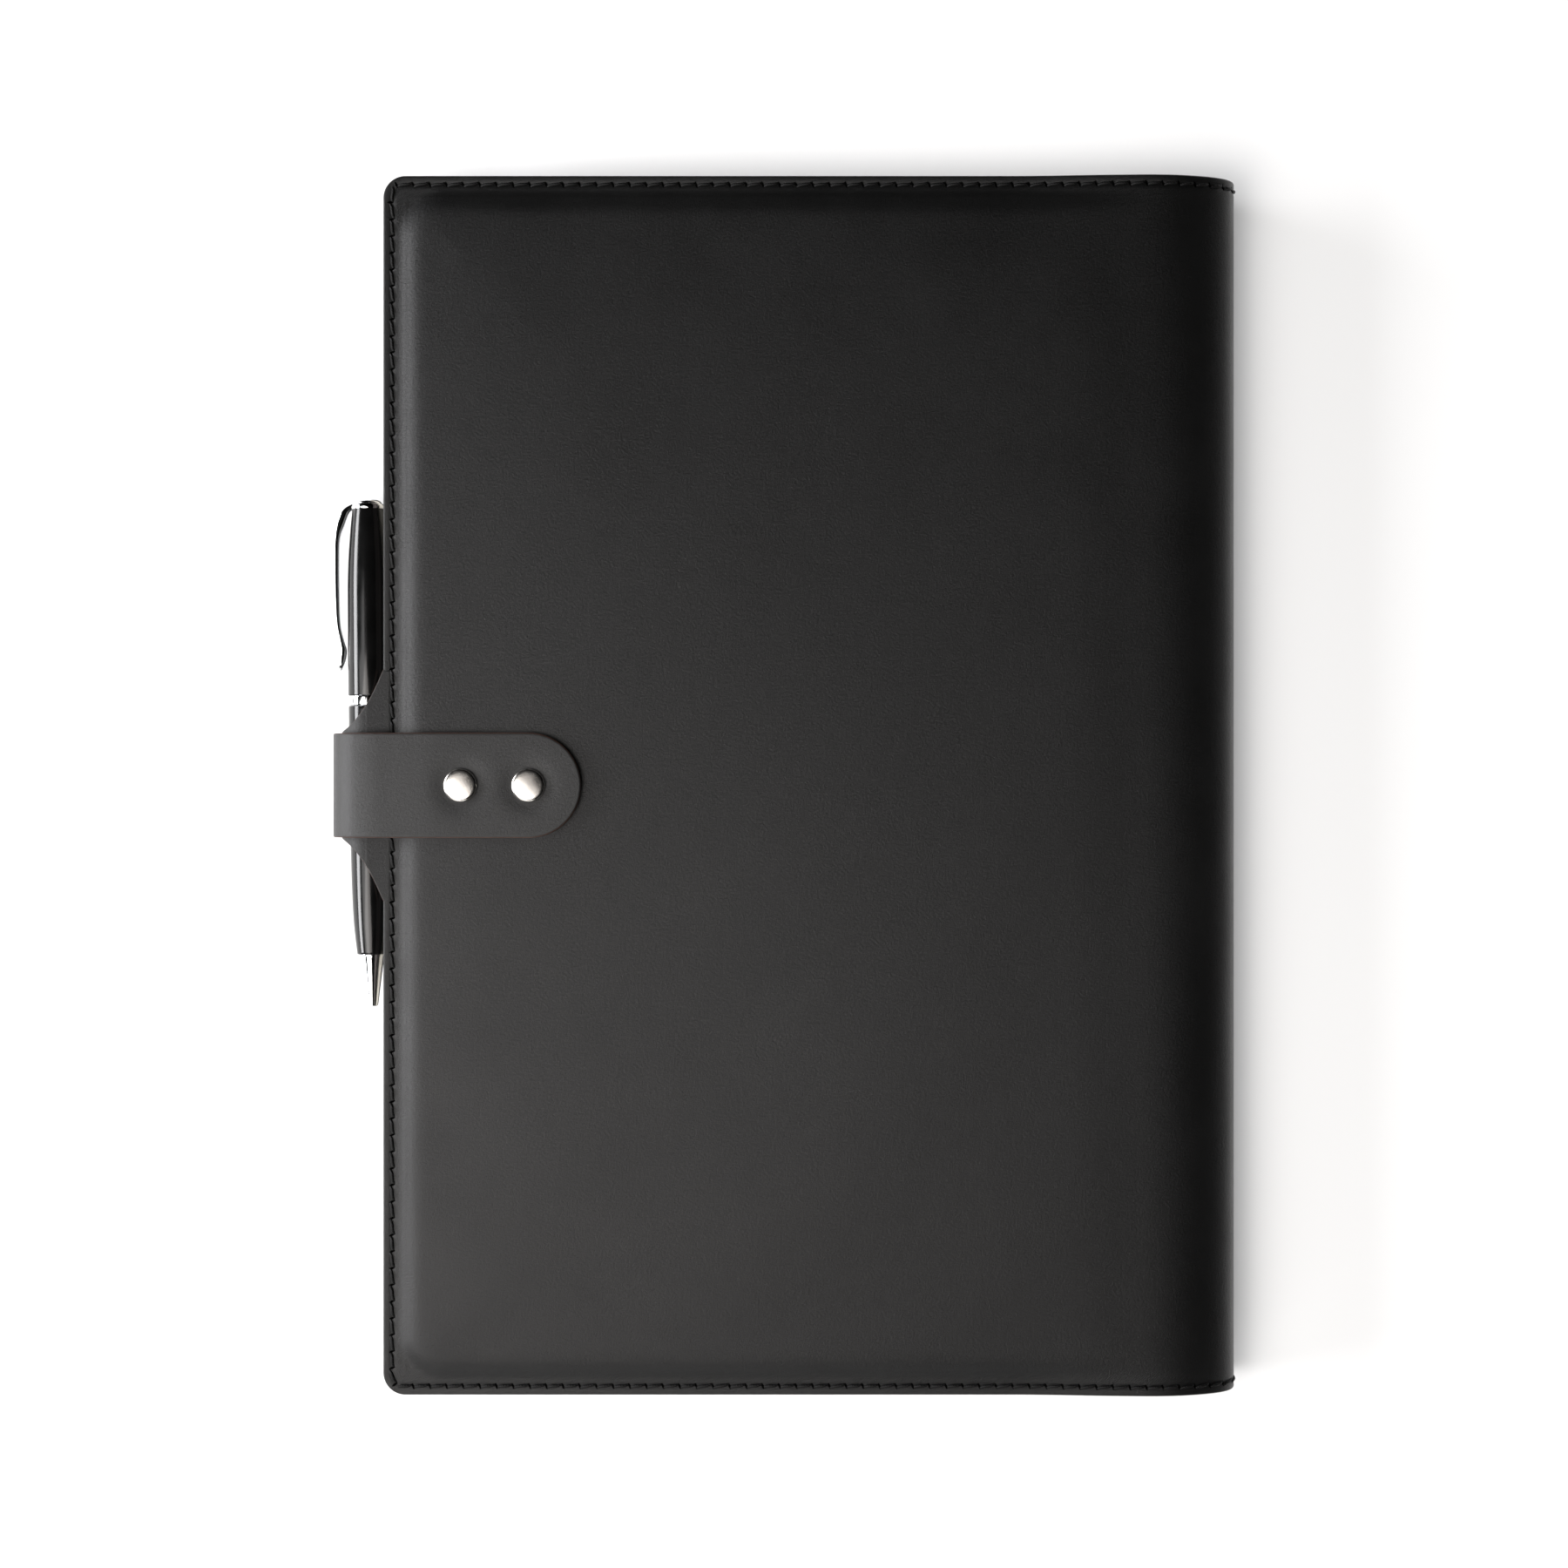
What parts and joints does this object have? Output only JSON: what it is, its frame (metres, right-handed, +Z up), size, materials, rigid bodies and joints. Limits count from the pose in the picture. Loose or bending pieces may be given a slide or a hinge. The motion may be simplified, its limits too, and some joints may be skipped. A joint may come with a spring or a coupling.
{
  "type": "leather notebook cover",
  "caption": "Closed A4 leather notebook cover with a snap strap round the fore edge, a pen in a side loop and a hardcover notebook held in inner pockets.",
  "frame": {"origin": "centre of the closed cover's outline on the back cover's outer face, which lies on the table", "axes": "+X towards the spine, +Y towards the head of the pages, +Z up through the front cover"},
  "size_m": [0.2399, 0.32, 0.0304],
  "materials": {
    "cover_leather": "soft waxed full-grain leather, near black, fading to warm grey where it catches light",
    "strap_leather": "same leather with raw reddish-brown cut edges",
    "lining": "brown woven lining",
    "thread": "thick black waxed thread",
    "board": "cloth-covered board",
    "paper": "cream page block",
    "nickel": "polished nickel",
    "pen_black": "high-gloss black lacquer",
    "pen_chrome": "polished chrome",
    "refill": "plain steel tube"
  },
  "bodies": {
    "back": {"back_cover_leather": "cover_leather", "back_lining": "lining", "back_pocket": "cover_leather", "back_stitching": "thread", "notebook_back_board": "board", "lower_leaves": "paper"},
    "spine": {"spine_leather": "cover_leather", "spine_lining": "lining", "spine_stitching": "thread", "notebook_spine": "board"},
    "front": {"front_cover_leather": "cover_leather", "pen_loop": "cover_leather", "front_lining": "lining", "front_pocket": "cover_leather", "front_stitching": "thread", "notebook_front_board": "board", "snap_studs": "nickel", "snap_posts": "nickel"},
    "leaves": {"upper_leaves": "paper"},
    "strap_riser": {"strap_riser": "strap_leather"},
    "strap_tongue": {"strap_tongue": "strap_leather", "snap_caps": "nickel", "snap_sockets": "nickel"},
    "pen_upper": {"pen_upper_barrel": "pen_black", "pen_dome": "pen_chrome", "pen_top_ring": "pen_chrome", "pen_clip": "pen_chrome", "pen_centre_ring": "pen_chrome", "pen_twist_mechanism": "pen_chrome"},
    "pen_lower": {"pen_lower_barrel": "pen_black", "pen_tip_cone": "pen_chrome"},
    "refill": {"refill_tube": "refill", "refill_point": "pen_chrome"}
  },
  "joints": [
    {"name": "spine_fold", "type": "hinge", "parent": "back", "child": "spine", "pos_m": [0.1067, 0, 0.00585], "axis": [0, 1, 0], "range_deg": [0, 90]},
    {"name": "front_fold", "type": "hinge", "parent": "spine", "child": "front", "pos_m": [0.1067, 0, 0.02015], "axis": [0, 1, 0], "range_deg": [0, 90]},
    {"name": "leaves_turn", "type": "hinge", "parent": "back", "child": "leaves", "pos_m": [0.102, 0, 0.013], "axis": [0, 1, 0], "range_deg": [0, 180]},
    {"name": "strap_swing", "type": "hinge", "parent": "back", "child": "strap_riser", "pos_m": [-0.1257, 0, 0.0034], "axis": [0, -1, 0], "range_deg": [0, 90]},
    {"name": "strap_peel", "type": "hinge", "parent": "strap_riser", "child": "strap_tongue", "pos_m": [-0.1257, 0, 0.0249], "axis": [0, -1, 0], "range_deg": [0, 84]},
    {"name": "pen_slide", "type": "slide", "parent": "front", "child": "pen_upper", "axis": [-0.0084, 1, 0], "range_m": [0, 0.09]},
    {"name": "pen_twist", "type": "hinge", "parent": "pen_upper", "child": "pen_lower", "pos_m": [-0.117, 0, 0.016], "axis": [-0.0084, 1, 0], "range_deg": [0, 180]},
    {"name": "refill_slide", "type": "slide", "parent": "pen_lower", "child": "refill", "axis": [0.0084, -1, 0], "range_m": [0, 0.00301]}
  ],
  "couplings": [
    {"joint": "front_fold", "follows": "spine_fold", "ratio": 1},
    {"joint": "leaves_turn", "follows": "spine_fold", "ratio": 2},
    {"joint": "refill_slide", "follows": "pen_twist", "m_per_rad": 0.00095493}
  ]
}
